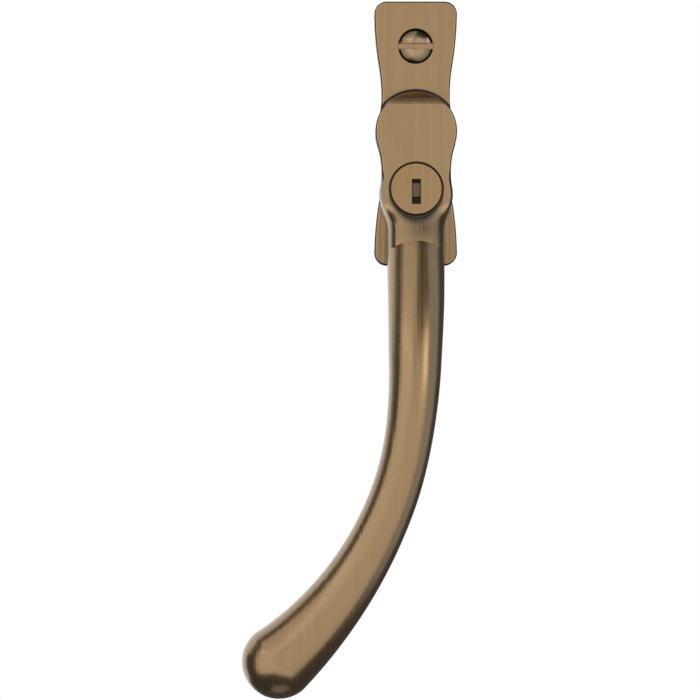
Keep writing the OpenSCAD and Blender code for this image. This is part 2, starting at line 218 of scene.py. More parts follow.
def share_at(z):
    return (CREASE_Z - z) / GRIP_LENGTH


def bend_at(t):
    return max(0.0, (t * GRIP_LENGTH - STRAIGHT_LENGTH) / BEND_RADIUS)


def level_z(t):
    return CREASE_Z - min(t * GRIP_LENGTH, STRAIGHT_LENGTH) - BEND_RADIUS * math.sin(bend_at(t))


def hollow_half(z):
    return HOLLOW_X - math.sqrt(HOLLOW_RADIUS ** 2 - (z - HOLLOW_Z) ** 2)


def neck_half(z):
    if z > HEAD_JOIN_Z:
        return math.sqrt(max(0.0, HEAD_RADIUS ** 2 - z * z))
    if z > HOLLOW_END_Z:
        return hollow_half(z)
    if z > BULGE_Z:
        return mix(BULGE_HALF, hollow_half(HOLLOW_END_Z), ((z - BULGE_Z) / (HOLLOW_END_Z - BULGE_Z)) ** 2)
    return mix(BULGE_HALF, GRIP_TOP_RADIUS, ease((z - BULGE_Z) / (NECK_END_Z - BULGE_Z)))


def grip_radius(t):
    if t < GRIP_SLIM_SHARE:
        return mix(GRIP_TOP_RADIUS, GRIP_SLIM_RADIUS, ease((max(0.0, t) / GRIP_SLIM_SHARE) ** GRIP_TAPER))
    return mix(GRIP_SLIM_RADIUS, BALL_RADIUS, ((t - GRIP_SLIM_SHARE) / (1 - GRIP_SLIM_SHARE)) ** GRIP_SWELL)


def grip_stretch(t):
    slope = 2 * GRIP_RISE / (GRIP_LEVEL_SHARE * GRIP_LENGTH) * max(0.0, 1 - t / GRIP_LEVEL_SHARE)
    return math.sqrt(1 + slope ** 2)


def lean_at(t):
    u = min(1.0, max(0.0, (t - LEAN_SHARES[0]) / (LEAN_SHARES[1] - LEAN_SHARES[0])))
    return GRIP_LEAN * math.sin(math.pi * u) ** 2


GRIP_START_HEIGHT = LEVER_FRONT - GRIP_TOP_RADIUS * grip_stretch(0)


def grip_height(t):
    return GRIP_START_HEIGHT + GRIP_RISE * (1 - max(0.0, 1 - t / GRIP_LEVEL_SHARE) ** 2)


FRONT_CROWN_STEPS, FRONT_SIDE_STEPS, BACK_STEPS = 18, 12, 20
GRIP_EDGE_ANGLE = math.asin((GRIP_TOP_RADIUS - NECK_EDGE_INSET) / GRIP_TOP_RADIUS)
EDGE_SINE_LOW, EDGE_SINE_HIGH = 0.35, 0.98
# Where the widest part of the neck's side lies above its back, at the lock and at the crease.
SIDE_RISE_LOCK, SIDE_RISE_CREASE = 6, 2.2
BACK_CHAMFER = 0.3
# The back turns from flat to round over this stretch of the grip.
BACK_FLAT_SHARE, BACK_ROUNDING_SHARE = 0.02, 0.16


def neck_blend(z):
    return ease((z - NECK_ROUND_Z) / (NECK_END_Z - NECK_ROUND_Z))


def edge_angle(z, half, t):
    """Where, round a section from its front, the front face ends and the side begins."""
    if t >= 0:
        return GRIP_EDGE_ANGLE
    inset = mix(EDGE_FILLET, NECK_EDGE_INSET, neck_blend(z))
    return math.asin(np.clip((half - inset) / max(half, 1e-6), EDGE_SINE_LOW, EDGE_SINE_HIGH))


def head_surface(x, z, half):
    """The flat front, its slope at the top and the fillet along its rim."""
    past = z - SLOPE_START_Z
    if abs(past) < RIDGE_SOFTNESS:
        past = (past + RIDGE_SOFTNESS) ** 2 / (4 * RIDGE_SOFTNESS)
    height = LEVER_FRONT - SLOPE_DROP * max(0.0, past) / (HEAD_RADIUS - SLOPE_START_Z)
    inside = HEAD_RADIUS - math.hypot(x, z) if z > HEAD_JOIN_Z else half - abs(x)
    short = EDGE_FILLET - np.clip(inside, 0, EDGE_FILLET)
    return height - (EDGE_FILLET - math.sqrt(max(0.0, EDGE_FILLET ** 2 - short ** 2)))


def neck_surface(q, e, z):
    blend = neck_blend(z)
    drop = NECK_EDGE_DROP * blend
    wide = mix(NECK_BACK + SIDE_RISE_LOCK, NECK_BACK + SIDE_RISE_CREASE, blend)
    if q < e:
        return LEVER_FRONT - drop * (math.sin(q) / math.sin(e)) ** 2
    return wide + (LEVER_FRONT - drop - wide) * math.cos(q) / math.cos(e)


def front_height(q, e, z, half, t):
    """The front of a section at the angle q round it: the grip, or the head and neck where they stand out."""
    grip = grip_height(t) + grip_radius(max(t, 0)) * grip_stretch(t) * math.cos(q)
    if t >= CREASE_SHARE:
        return grip
    to_neck = ease((HEAD_END_Z - z) / HEAD_FADE)
    head = head_surface(half * math.sin(q), z, half)
    return max(grip, mix(head, neck_surface(q, e, z), to_neck))


def section(t, z=None):
    """Half a section, from front centre to back centre, as (half width, height)."""
    z = level_z(t) if z is None else z
    half = max(0.01, neck_half(z) if t < 0 else grip_radius(t)) - SHY
    e = edge_angle(z, half, t)
    angles = [e * i / FRONT_CROWN_STEPS for i in range(FRONT_CROWN_STEPS)]
    angles += [mix(e, math.pi / 2, i / FRONT_SIDE_STEPS) for i in range(FRONT_SIDE_STEPS + 1)]
    points = [(half * math.sin(q), front_height(q, e, z, half, t)) for q in angles]
    side = points[-1][1]
    lowest = grip_height(t) - grip_radius(max(t, 0)) * grip_stretch(t)
    roundness = ease((t - BACK_FLAT_SHARE) / BACK_ROUNDING_SHARE)
    chamfer = min(BACK_CHAMFER, half * 0.5)
    flat = [(half, NECK_BACK + chamfer), (half - 0.3 * chamfer, NECK_BACK + 0.3 * chamfer)]
    left = BACK_STEPS - len(flat)
    flat += [((half - chamfer) * (1 - i / (left - 1)), NECK_BACK) for i in range(left)]
    for i, (x, h) in enumerate(flat):
        q = math.pi / 2 * (1 + (i + 1) / BACK_STEPS)
        bar = (half * math.sin(q), side + (side - lowest) * math.cos(q))
        points.append((mix(x, bar[0], roundness), mix(h, bar[1], roundness)))
    return points


def placed(t, z=None, shrink=1.0, forward=0.0):
    """A whole section set square to the grip's centre line, shrunk and moved along it for the rounded end."""
    half = section(t, z)
    middle = grip_height(t) if t >= CREASE_SHARE else 0.0
    whole = [(-x, h) for x, h in half] + [(x, h) for x, h in half[-2:0:-1]]
    a = bend_at(t)
    cx = BEND_RADIUS * (math.cos(a) - 1) - lean_at(t) - forward * math.sin(a)
    cz = (level_z(t) if z is None else z) - forward * math.cos(a)
    ring = []
    for x, h in whole:
        x, h = x * shrink, middle + (h - middle) * shrink
        ring.append((cx + x * math.cos(a), -h, cz - x * math.sin(a)))
    return ring


def lever_skin():
    head_steps, neck_steps, crease_steps, grip_steps, cap_steps = 60, 60, 50, 170, 22
    # Levels down the head follow the angle round its rim, so that the rim stays round.
    join = math.asin(HEAD_JOIN_Z / HEAD_RADIUS)
    top = math.radians(88.5)
    levels = [HEAD_RADIUS * math.sin(mix(top, join, i / head_steps)) for i in range(head_steps)]
    levels = sorted(levels + [SLOPE_START_Z + RIDGE_SOFTNESS * i / 4 for i in range(-4, 5)], reverse=True)
    levels += [mix(HEAD_JOIN_Z, CREASE_Z, i / neck_steps) for i in range(neck_steps)]
    rings = [placed(share_at(z), z) for z in levels]
    rings += [placed(CREASE_SHARE * i / crease_steps) for i in range(crease_steps)]
    rings += [placed(mix(CREASE_SHARE, 1, i / grip_steps)) for i in range(grip_steps + 1)]
    for i in range(1, cap_steps):
        a = math.pi / 2 * i / cap_steps
        rings.append(placed(1, None, math.cos(a), (BALL_RADIUS - SHY) * math.sin(a)))
    return loft("lever_casting", rings)


# ---- materials ----


class Nodes:
    """A material's node tree, built up with short calls."""

    def __init__(self, name):
        self.material = bpy.data.materials.new(name)
        self.material.use_nodes = True
        self.tree = self.material.node_tree
        self.shader = self.tree.nodes["Principled BSDF"]

    def add(self, kind, **settings):
        node = self.tree.nodes.new(kind)
        for key, value in settings.items():
            setattr(node, key, value)
        return node

    def link(self, source, target):
        self.tree.links.new(source, target)

    def place(self):
        return self.add("ShaderNodeTexCoord").outputs["Object"]

    def noise(self, place, scale, detail, roughness):
        """Noise stretched by a scale along each axis, in features to the metre."""
        mapping = self.add("ShaderNodeMapping")
        mapping.inputs["Scale"].default_value = scale
        self.link(place, mapping.inputs["Vector"])
        noise = self.add("ShaderNodeTexNoise")
        noise.inputs["Scale"].default_value = 1.0
        noise.inputs["Detail"].default_value = detail
        noise.inputs["Roughness"].default_value = roughness
        self.link(mapping.outputs["Vector"], noise.inputs["Vector"])
        return noise.outputs["Fac"]

    def remap(self, value, low, high, to_low, to_high):
        node = self.add("ShaderNodeMapRange")
        for socket, number in zip(node.inputs[1:5], (low, high, to_low, to_high)):
            socket.default_value = number
        self.link(value, node.inputs["Value"])
        return node.outputs["Result"]

    def math(self, operation, a, b):
        node = self.add("ShaderNodeMath", operation=operation)
        for socket, value in zip(node.inputs, (a, b)):
            if isinstance(value, (int, float)):
                socket.default_value = value
            else:
                self.link(value, socket)
        return node.outputs["Value"]

    def facing(self):
        """1 where the surface faces the front or the back, and 0 where it faces sideways, up or down."""
        split = self.add("ShaderNodeSeparateXYZ")
        self.link(self.add("ShaderNodeTexCoord").outputs["Normal"], split.inputs["Vector"])
        return self.math("ABSOLUTE", split.outputs["Y"], 0.0)

    def patch(self, place, centre_mm, radii_mm, inner, strength):
        """An oval patch seen from the front, full up to a share of its radii and gone at its edge."""
        mapping = self.add("ShaderNodeMapping")
        (x, z), (wide, tall) = centre_mm, radii_mm
        mapping.inputs["Scale"].default_value = (1 / (wide * MM), 0, 1 / (tall * MM))
        mapping.inputs["Location"].default_value = (-x / wide, 0, -z / tall)
        self.link(place, mapping.inputs["Vector"])
        length = self.add("ShaderNodeVectorMath", operation="LENGTH")
        self.link(mapping.outputs["Vector"], length.inputs[0])
        return self.remap(length.outputs["Value"], inner, 1.0, strength, 0.0)

    def blend(self, factor, a, b):
        node = self.add("ShaderNodeMix", data_type="RGBA")
        self.link(factor, node.inputs["Factor"])
        for socket, value in zip((node.inputs[6], node.inputs[7]), (a, b)):
            if isinstance(value, tuple):
                socket.default_value = (*value, 1.0)
            else:
                self.link(value, socket)
        return node.outputs[2]

    def bump(self, height, strength, distance):
        node = self.add("ShaderNodeBump")
        node.inputs["Strength"].default_value = strength
        node.inputs["Distance"].default_value = distance
        self.link(height, node.inputs["Height"])
        return node.outputs["Normal"]


# Painted shade for the hollows and the dark patches, standing partly for patina in the hollows.
PATINA_AND_PAINTED_SHADE = (0.020, 0.014, 0.009)
# Painted shade on the sides of the faces, which draws their dark outlines.
PAINTED_SIDE_SHADE = (0.065, 0.046, 0.027)
# A painted highlight along the edges of the faces.
PAINTED_EDGE_HIGHLIGHT = (0.50, 0.335, 0.17)
EVERYWHERE = (-1.0, 1.0)
# The painted edge highlight fades out between these two values as the surface turns to face the front.
EDGE_HIGHLIGHT_FACING = (0.975, 0.997)
UPPER_FADE = 0.0003
COAT_ROUGHNESS = 0.16
BRUSH_DEPTH = 0.00008
GRAIN_DEPTH = 0.00001


def antique_brass(name, light, dark, roughness, painted_edge_band=None, fade=0.001, steep=(0.87, 0.972), edge_highlight=PAINTED_EDGE_HIGHLIGHT,
        edge_highlight_reach=0.001, patches=(), depth=0.0008, openness=(0.3, 0.75), strength=0.5, coat=0.5):
    """Lacquered brass toned brown and brushed up and down, with streaks and clouds, and painted shade in its
    hollows which stands partly for patina.

    painted_edge_band is two levels in Z. Between them the sides are painted dark, a painted shade which sets in
    over the two values of steep, and the edges of the faces get a painted highlight, edge_highlight.
    fade and edge_highlight_reach soften the lower level. Each patch is painted shade, given as (centre, radii,
    inner share, strength, how streaky), in millimetres. depth and openness set how far a hollow darkens with
    painted shade, strength is that of the brush marks, and coat is the weight of the lacquer.
    """
    n = Nodes(name)
    place = n.place()
    streaks = n.noise(place, (2400.0, 60.0, 22.0), 3.0, 0.6)
    bands = n.noise(place, (800.0, 30.0, 9.0), 2.0, 0.5)
    clouds = n.noise(place, (70.0, 70.0, 40.0), 3.0, 0.55)
    tone = n.math("ADD", n.remap(streaks, 0.3, 0.7, 0.0, 0.5), n.remap(bands, 0.3, 0.7, 0.0, 0.3))
    tone = n.math("ADD", tone, n.remap(clouds, 0.3, 0.7, 0.0, 0.2))
    colour = n.blend(tone, dark, light)
    # Painted shade on the sides and a painted highlight along the edges, between two levels in Z.
    if painted_edge_band:
        height = n.add("ShaderNodeSeparateXYZ")
        n.link(place, height.inputs["Vector"])
        above = n.remap(height.outputs["Z"], painted_edge_band[0] - fade, painted_edge_band[0] + fade, 0.0, 1.0)
        below = n.remap(height.outputs["Z"], painted_edge_band[1] - UPPER_FADE, painted_edge_band[1] + UPPER_FADE, 1.0, 0.0)
        within = n.math("MULTIPLY", above, below)
        facing = n.facing()
        not_flat = n.remap(facing, *EDGE_HIGHLIGHT_FACING, 1.0, 0.0)
        edge = n.math("MULTIPLY", not_flat, n.remap(facing, *steep, 0.0, 1.0))
        reach = n.remap(height.outputs["Z"], painted_edge_band[0] - edge_highlight_reach, painted_edge_band[0], 0.0, 1.0)
        # A painted highlight along the edges of the faces.
        colour = n.blend(n.math("MULTIPLY", n.math("MULTIPLY", edge, reach), below), colour, edge_highlight)
        # Painted shade on the sides, which draws the dark outlines.
        side = n.remap(facing, *steep, 1.0, 0.0)
        colour = n.blend(n.math("MULTIPLY", side, within), colour, PAINTED_SIDE_SHADE)
    # Patches of painted shade.
    for centre, radii, inner, share, streaky in patches:
        uneven = n.remap(streaks, 0.38, 0.62, 1 - streaky, 1 + streaky)
        streaked = n.math("MULTIPLY", n.patch(place, centre, radii, inner, share), uneven)
        colour = n.blend(streaked, colour, PATINA_AND_PAINTED_SHADE)
    # Painted shade in the hollows, standing partly for patina.
    hollow = n.add("ShaderNodeAmbientOcclusion", samples=8)
    hollow.inputs["Distance"].default_value = depth
    open_air = n.remap(hollow.outputs["AO"], *openness, 0.0, 1.0)
    n.link(n.blend(open_air, PATINA_AND_PAINTED_SHADE, colour), n.shader.inputs["Base Color"])
    n.shader.inputs["Metallic"].default_value = 1.0
    n.shader.inputs["Coat Weight"].default_value = coat
    n.shader.inputs["Coat Roughness"].default_value = COAT_ROUGHNESS
    rough = n.math("ADD", n.remap(streaks, 0.2, 0.8, -0.05, 0.05),
        n.remap(clouds, 0.3, 0.7, roughness - 0.02, roughness + 0.03))
    n.link(rough, n.shader.inputs["Roughness"])
    n.link(n.bump(n.math("ADD", streaks, bands), strength, BRUSH_DEPTH), n.shader.inputs["Normal"])
    return n.material


def plain_metal(name, light, dark, roughness):
    n = Nodes(name)
    place = n.place()
    grain = n.noise(place, (2500.0, 2500.0, 2500.0), 4.0, 0.6)
    clouds = n.noise(place, (220.0, 220.0, 220.0), 3.0, 0.5)
    n.link(n.blend(n.remap(clouds, 0.3, 0.7, 0.0, 1.0), dark, light), n.shader.inputs["Base Color"])
    n.shader.inputs["Metallic"].default_value = 1.0
    n.link(n.remap(grain, 0.3, 0.7, roughness - 0.06, roughness + 0.06), n.shader.inputs["Roughness"])
    n.link(n.bump(grain, 0.15, GRAIN_DEPTH), n.shader.inputs["Normal"])
    return n.material


def nylon():
    n = Nodes("natural_nylon")
    grain = n.noise(n.place(), (1800.0, 1800.0, 1800.0), 4.0, 0.5)
    colour = n.blend(n.remap(grain, 0.3, 0.7, 0.0, 1.0), (0.70, 0.66, 0.55), (0.80, 0.77, 0.68))
    n.link(colour, n.shader.inputs["Base Color"])
    n.shader.inputs["Roughness"].default_value = 0.5
    n.link(n.bump(grain, 0.1, GRAIN_DEPTH), n.shader.inputs["Normal"])
    return n.material


BRASS_LIGHT, BRASS_DARK = (0.350, 0.224, 0.106), (0.285, 0.181, 0.084)
# Painted shade: under the lock, on the neck above the crease, a painted shadow line round the head, and streaky
# painted shade on the low end of the plate.
NECK_PAINTED_SHADE = [((0.0, LOCK_Z - 2.2), (6.9, 6.9), 0.76, 0.95, 0.1),
    ((1.5, -23.6), (7.5, 5.2), 0.0, 0.68, 0.2)]
# A painted shadow line on the plate in the gap round the head.
GAP_SHADOW_START, GAP_SHADOW_END = HEAD_RADIUS + 0.8, HEAD_RADIUS + 1.1
PLATE_PAINTED_SHADE = [((0.0, 0.0), (GAP_SHADOW_END, GAP_SHADOW_END), GAP_SHADOW_START / GAP_SHADOW_END, 0.95, 0.0),
    ((0.0, -28.0), (16.0, 12.0), 0.3, 0.3, 0.9)]
# The lever gets painted side shade and a painted edge highlight on its head and neck, between these levels.
HEAD_PAINTED_EDGE_BAND = (-0.0165, (SLOPE_START_Z - RIDGE_SOFTNESS) * MM)
brass_lever = antique_brass("antique_brass_lever", BRASS_LIGHT, BRASS_DARK, 0.27,
    painted_edge_band=HEAD_PAINTED_EDGE_BAND, fade=0.003, edge_highlight_reach=0.009, patches=NECK_PAINTED_SHADE)
# The plate gets painted shade on its sides and a painted highlight along its edges all over.
brass_plate = antique_brass("antique_brass_plate", BRASS_LIGHT, BRASS_DARK, 0.30,
    painted_edge_band=EVERYWHERE, patches=PLATE_PAINTED_SHADE, strength=0.35)
# Deep painted shade in the barrel's hollows, which thickens the dark ring round the lock; its sides get painted
# shade and its edges a painted highlight.
brass_barrel = antique_brass("antique_brass_barrel", (0.365, 0.235, 0.112), BRASS_DARK, 0.28,
    painted_edge_band=EVERYWHERE, depth=0.003, openness=(0.72, 0.97), coat=0.1)
# The screws get painted shade on the sides of their domes and a painted highlight along their edges.
brass_screw = antique_brass("antique_brass_screw", (0.36, 0.24, 0.125), (0.27, 0.175, 0.09), 0.17,
    painted_edge_band=EVERYWHERE, steep=(0.90, 0.985), edge_highlight=(0.40, 0.27, 0.14), strength=0.15)
brass_ward = antique_brass("dull_brass_ward", (0.145, 0.098, 0.055), (0.095, 0.064, 0.036), 0.45)
zinc = plain_metal("zinc_plated_steel", (0.62, 0.63, 0.65), (0.48, 0.49, 0.51), 0.32)
spring_steel = plain_metal("oiled_spring_steel", (0.34, 0.34, 0.35), (0.22, 0.22, 0.23), 0.3)
bush_nylon = nylon()

# ---- pieces ----


def fit_out(obj, material, body, slot, *nodes):
    """Gives a finished piece its material, its body and the CAD nodes that it stands for."""
    obj.data.materials.clear()
    obj.data.materials.append(material)
    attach(obj, body)
    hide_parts(*nodes)


body_of = {n: body for body, members in record["behaviour"]["bodies"].items() for n in members}
slot_of = {part["node"]: part["material_slot"] for part in record["subparts"]}


SHARP_EDGE, FLAT_JOINT = math.radians(35), math.radians(0.4)
WELD_METRES = 2e-6


def joined_copy(node):
    """A copy of a CAD node's mesh, and the same opened for editing with its flat faces joined up."""
    mesh = frame["nodes"][node].data.copy()
    bm = bmesh.new()
    bm.from_mesh(mesh)
    bmesh.ops.remove_doubles(bm, verts=bm.verts, dist=WELD_METRES)
    bmesh.ops.dissolve_limit(bm, angle_limit=FLAT_JOINT, verts=bm.verts, edges=bm.edges)
    return mesh, bm


def finish_copy(node, material, mesh, bm, bevel_mm, segments, limit):
    """Closes a joined copy, breaks its edges by angle or by weight, and makes its round faces smooth."""
    bm.to_mesh(mesh)
    bm.free()
    obj = bpy.data.objects.new(node + "_finished", mesh)
    bpy.context.scene.collection.objects.link(obj)
    bevel = obj.modifiers.new("edges", "BEVEL")
    bevel.width = bevel_mm * MM
    bevel.segments = segments
    bevel.limit_method = limit
    bevel.angle_limit = SHARP_EDGE
    # With weights the clamp would hold every edge to the room beside the tightest one.
    bevel.use_clamp_overlap = limit == "ANGLE"
    apply_modifiers(obj)
    smooth(obj)
    fit_out(obj, material, body_of[node], slot_of[node], node)


def refined(node, material, bevel_mm):
    """A CAD node with its edges broken and its round faces smooth."""
    finish_copy(node, material, *joined_copy(node), bevel_mm, 3, "ANGLE")


def backplate_piece():
    """The CAD plate with its outline rounded over and the rims of its holes just broken."""
    mesh, bm = joined_copy("backplate")
    weights = bm.edges.layers.float.new("bevel_weight_edge")
    outline_fillet, segments = 0.55, 5
    outline_weight, rim_weight = 1.0, 0.15
    in_front_plane, margin, slot_reach = 0.001, 0.1, 4
    for edge in bm.edges:
        x, y, z = (edge.verts[0].co + edge.verts[1].co) / 2 / MM
        if abs(y - PLATE_FRONT_Y) > in_front_plane or edge.calc_face_angle(0) < SHARP_EDGE:
            continue
        beyond_head = math.hypot(x, z) - HEAD_RADIUS - HEAD_RECESS_ROOM
        beyond_screw = math.hypot(x, abs(z) - SCREW_Z) - SCREW_RECESS_RADIUS
        beyond_slot = max(abs(x), abs(z - LOCK_Z)) - slot_reach
        on_outline = min(beyond_head, beyond_screw, beyond_slot) > margin
        edge[weights] = outline_weight if on_outline else rim_weight
    finish_copy("backplate", brass_plate, mesh, bm, outline_fillet, segments, "WEIGHT")


def rounded(points, radius):
    """Rounds an outline's corners: each is (radius, height), and True as a third value keeps it sharp."""
    out, steps = [], 4
    for i, point in enumerate(points):
        if len(point) == 3:
            out.append(point[:2])
            continue
        here, before, after = (Vector(p[:2]) for p in (point, points[i - 1], points[(i + 1) % len(points)]))
        first = here + (before - here).normalized() * radius
        last = here + (after - here).normalized() * radius
        for k in range(steps + 1):
            s = k / steps
            out.append(tuple(first * (1 - s) ** 2 + here * 2 * s * (1 - s) + last * s * s))
    return out


def cut_box(obj, low, high):
    """Cuts a block between two corners, given in millimetres."""
    corners = [(x, y, z) for z in (low[2], high[2]) for x, y in
        ((low[0], low[1]), (high[0], low[1]), (high[0], high[1]), (low[0], high[1]))]
    block = new_object("block", corners,
        [(3, 2, 1, 0), (4, 5, 6, 7), (0, 1, 5, 4), (1, 2, 6, 5), (2, 3, 7, 6), (3, 0, 4, 7)])
    combine(obj, block, "DIFFERENCE")


def arc_cutter(name, inner, outer, start, end, heights, thick, z):
    """A bar swept round an axis along Y: it goes from the first height to the second as it turns."""
    rings, steps = [], 32
    for i in range(steps + 1):
        a, low = mix(start, end, i / steps), mix(*heights, i / steps)
        rings.append([(r * math.cos(a), -h, z + r * math.sin(a)) for r, h in
            ((inner, low), (outer, low), (outer, low + thick), (inner, low + thick))])
    return loft(name, rings)


def cover_recess(low, high):
    """The lock cover's outline, a block with its corners cut off by a circle, with a little room round it."""
    room, corner_radius, deep = 0.1, 11.5, 0.05
    corner_z = LOCK_Z + 1
    front = -low.y + deep
    away, below = 20, -60
    disc = lathe("cover_recess",
        [(CORE, NECK_BACK - 1), (corner_radius, NECK_BACK - 1), (corner_radius, front), (CORE, front)],
        0, corner_z, 96)
    for near, far in ((low.x - room, -away), (high.x + room, away)):
        cut_box(disc, (min(near, far), -away, corner_z - away), (max(near, far), 0, corner_z + away))
    for near, far in ((low.z - room, below), (high.z + room, away)):
        cut_box(disc, (-away, -away, min(near, far)), (away, 0, max(near, far)))
    return disc


def lever_piece():
    lever = lever_skin()
    # The round foot of the head and the boss that passes through the backplate.
    rim, chamfer, foot_top = HEAD_RADIUS - SHY, 0.2, NECK_BACK + 0.9
    boss_radius, boss_end = 6.0, 0.3
    groove_radius, groove_start, groove_end = 5.45, 0.62, 1.24
    foot = [(CORE, boss_end), (boss_radius - chamfer, boss_end), (boss_radius, boss_end + chamfer),
        (boss_radius, groove_start), (groove_radius, groove_start), (groove_radius, groove_end),
        (boss_radius, groove_end), (boss_radius, HEAD_BACK), (rim - chamfer, HEAD_BACK),
        (rim, HEAD_BACK + chamfer), (rim, foot_top), (CORE, foot_top)]
    base = lathe("lever_foot", foot)
    combine(lever, base, "UNION")
    # The seat of the lock, with its mouth broken, and the bore behind it.
    mouth, clear = 0.12, LEVER_FRONT + 3
    seat = [(CORE, NECK_BACK - 1), (LOCK_BORE_RADIUS, NECK_BACK - 1), (LOCK_BORE_RADIUS, LOCK_SEAT_HEIGHT),
        (LOCK_SEAT_RADIUS, LOCK_SEAT_HEIGHT), (LOCK_SEAT_RADIUS, LEVER_FRONT - mouth),
        (LOCK_SEAT_RADIUS + mouth, LEVER_FRONT), (LOCK_SEAT_RADIUS + mouth, clear), (CORE, clear)]
    cutter = lathe("lock_seat_cutter", seat, 0, LOCK_Z, 160)
    combine(lever, cutter, "DIFFERENCE")
    # The mouth of the seat is broken more at its lower side.
    wear_shift, flare = 0.6, 0.1
    worn_bottom, worn_top = LEVER_FRONT - 0.7, LEVER_FRONT + 0.3
    worn = lathe("worn_mouth_cutter", [(CORE, worn_bottom), (LOCK_SEAT_RADIUS - flare, worn_bottom),
        (LOCK_SEAT_RADIUS + flare, worn_top), (CORE, worn_top)], 0, LOCK_Z - wear_shift, 160)
    combine(lever, worn, "DIFFERENCE")
    # The square socket of the spindle, and the recess of the lock's cover.
    half, socket_end = 3.52, 10
    cut_box(lever, (-half, -socket_end, -half), (half, 1, half))
    cover_low, cover_high = corners_mm("lock_cover")
    combine(lever, cover_recess(cover_low, cover_high), "DIFFERENCE")
    # The quarter-turn slot of the stop pin, and the pockets of the detent balls.
    half_width, below, pocket_end = 1.05, HEAD_BACK - 1, 9.65
    slot = arc_cutter("stop_slot_cutter", DETENT_TRACK - half_width, DETENT_TRACK + half_width,
        math.radians(38), math.radians(142), (below, below), STOP_SLOT_END - HEAD_BACK + 1, 0)
    combine(lever, slot, "DIFFERENCE")
    for x in (-DETENT_TRACK, DETENT_TRACK):
        pocket = lathe("pocket_cutter",
            [(CORE, below), (half_width, below), (half_width, pocket_end), (CORE, pocket_end)], x, 0, 32)
        combine(lever, pocket, "DIFFERENCE")
    smooth(lever, 40)
    lever.name = "lever_casting"
    fit_out(lever, brass_lever, "lever", "lever_brass", "lever")


def barrel_piece():
    low, high = corners_mm("lock_barrel")
    face, back, disc, body, bore = -low.y, -high.y, high.x, 5.4, 2.6
    # The disc runs just clear of its seat.
    bore_end, disc_back, corner = 14.99, LOCK_SEAT_HEIGHT + 0.03, 0.22
    profile = rounded([(CORE, bore_end, True), (bore, bore_end, True), (bore, back, True), (body, back),
        (body, disc_back, True), (disc, disc_back), (disc, face), (CORE, face, True)], corner)
    barrel = lathe("lock_barrel_turned", profile, 0, LOCK_Z, 160)
    cut_box(barrel, (-KEY_HALF, -face - 1, LOCK_Z + KEY_BOTTOM),
        (KEY_HALF, -face + KEY_DEPTH, LOCK_Z + KEY_TOP))
    # The two helical slots of the bolt's pin, one through each side of the wall.
    pin_height, travel, half_tall, pin_half = 13.6, 2.8, 0.85, 0.65
    inner, outer = 1.6, body + 0.4
    # Each slot runs on past the pin's centre at both ends, as far as the pin is wide at the bore.
    over = math.asin(pin_half / bore)
    rise = travel * over / (math.pi / 2)
    heights = (pin_height + rise - half_tall, pin_height - travel - rise - half_tall)
    for start in (0, math.pi):
        slot = arc_cutter("helix_cutter", inner, outer, start + over, start - math.pi / 2 - over, heights,
            2 * half_tall, LOCK_Z)
        combine(barrel, slot, "DIFFERENCE")
    smooth(barrel, 35)
    fit_out(barrel, brass_barrel, "lock_barrel", "barrel_brass", "lock_barrel")


def screw_piece(node, z):
    """An M5 raised countersunk screw with a cut slot and a rolled thread."""
    low, high = corners_mm(node)
    tip, dome_top, head_radius, rim_height = -high.y, -low.y, 4.28, 6.7
    dome_rise = dome_top - rim_height
    dome_radius = (head_radius ** 2 + dome_rise ** 2) / (2 * dome_rise)
    pitch, major, neck, depth, sides, rows = 0.8, 2.5, 2.25, 0.45, 64, 312
    lead_in, lead_drop, run_out_length = 1.2, 0.5, 1.5
    thread_end, countersink = -0.4, rim_height - head_radius + neck
    turns_of = [(2 * math.pi * j / sides, j / sides) for j in range(sides)]
    rings = []
    for i in range(rows + 1):
        height = mix(tip, thread_end, i / rows)
        lead = min(1.0, (height - tip) / lead_in)
        run_out = ease((thread_end - height) / run_out_length)
        ring = []
        for a, share in turns_of:
            wave = abs(((height / pitch - share) % 1.0) * 2 - 1)
            radius = mix(neck, major - SHY - depth * wave, run_out) - lead_drop * (1 - lead)
            ring.append((radius * math.cos(a), -height, z + radius * math.sin(a)))
        rings.append(ring)
    rim_break, dome_steps = 0.05, 25
    profile = [(neck, countersink), (head_radius - rim_break, rim_height - rim_break),
        (head_radius, rim_height)]
    for i in range(1, dome_steps):
        radius = head_radius * math.cos(math.pi / 2 * i / dome_steps)
        profile.append((radius, dome_top - dome_radius + math.sqrt(dome_radius ** 2 - radius ** 2)))
    for radius, height in profile:
        rings.append([(radius * math.cos(a), -height, z + radius * math.sin(a)) for a, _ in turns_of])
    screw = loft(node + "_threaded", rings)
    slot_half, slot_depth = 0.75, 1.3
    cut_box(screw, (-head_radius - 1, -dome_top - 1, z - slot_half),
        (head_radius + 1, -dome_top + slot_depth, z + slot_half))
    smooth(screw, 35)
    fit_out(screw, brass_screw, "backplate", "screw_brass", node)


lever_piece()
barrel_piece()
screw_piece("upper_fixing_screw", SCREW_Z)
screw_piece("lower_fixing_screw", -SCREW_Z)
backplate_piece()
refined("keyway_ward", brass_ward, 0.12)
refined("drive_spindle", zinc, 0.15)
refined("spindle_pin", spring_steel, 0.08)
refined("thrust_washer", zinc, 0.06)
refined("wave_washer", spring_steel, 0.03)
refined("boss_circlip", spring_steel, 0.06)
refined("pivot_bush", bush_nylon, 0.06)
refined("stop_pin", zinc, 0.1)
refined("lock_bolt", zinc, 0.15)
refined("bolt_drive_pin", zinc, 0.08)
refined("lock_cover", zinc, 0.08)
for side in ("left", "right"):
    refined(side + "_cover_screw", zinc, 0.06)
    refined(side + "_detent_spring", spring_steel, 0.01)
    refined(side + "_detent_ball", zinc, 0.01)

# ---- studio ----


